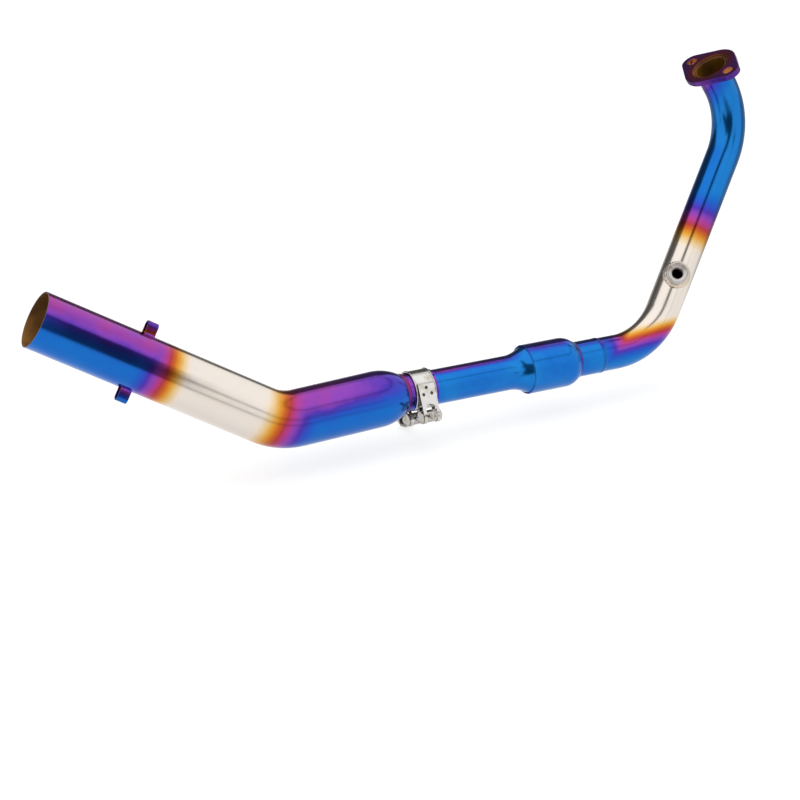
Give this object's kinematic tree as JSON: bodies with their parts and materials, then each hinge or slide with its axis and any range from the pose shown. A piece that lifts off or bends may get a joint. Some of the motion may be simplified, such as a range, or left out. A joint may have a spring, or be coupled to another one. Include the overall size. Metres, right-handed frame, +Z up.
{
  "type": "motorcycle exhaust header",
  "caption": "Bent exhaust header with a two-bolt head flange, sensor bung, resonance chamber, T-bolt clamp and a wider rear pipe with spring hooks.",
  "frame": {"origin": "centre of the port on the head flange's mating face", "axes": "+X forward, +Y to the left side of the motorcycle, +Z up, as mounted with the port facing forward and up"},
  "size_m": [0.6467, 0.3924, 0.2899],
  "materials": {
    "flange_metal": "satin plate, heat-tinted dark purple with a gold-brown port",
    "head_metal": "polished tube, heat-tinted from blue through purple and gold to bare silver and back",
    "middle_metal": "polished, heat-tinted bright blue with violet edges",
    "link_metal": "polished tube, violet and blue with a bare silver length after its bend",
    "weld_metal": "rippled weld bead, violet and straw",
    "hook_metal": "folded strap, heat-tinted violet and brown",
    "bung_steel": "turned, bright",
    "clamp_steel": "bright stainless strip and turned bar"
  },
  "bodies": {
    "root": {"head_flange": "flange_metal", "flange_weld": "weld_metal", "head_pipe": "head_metal", "sensor_bung": "bung_steel", "bung_weld": "weld_metal", "neck_weld": "weld_metal", "resonator_core": "middle_metal", "resonator_front_weld": "weld_metal", "resonator_shell": "middle_metal", "resonator_rear_weld": "weld_metal", "tail_pipe": "middle_metal", "inlet_sleeve": "middle_metal", "inlet_weld": "weld_metal", "link_pipe": "link_metal", "spring_hook_upper": "hook_metal", "spring_hook_lower": "hook_metal", "hook_weld_upper": "weld_metal", "hook_weld_lower": "weld_metal", "clamp_band": "clamp_steel", "clamp_bridge": "clamp_steel", "clamp_loop_near": "clamp_steel", "clamp_loop_far": "clamp_steel", "trunnion_threaded": "clamp_steel", "trunnion_plain": "clamp_steel", "clamp_spacer": "clamp_steel", "clamp_bolt": "clamp_steel"}
  },
  "joints": []
}
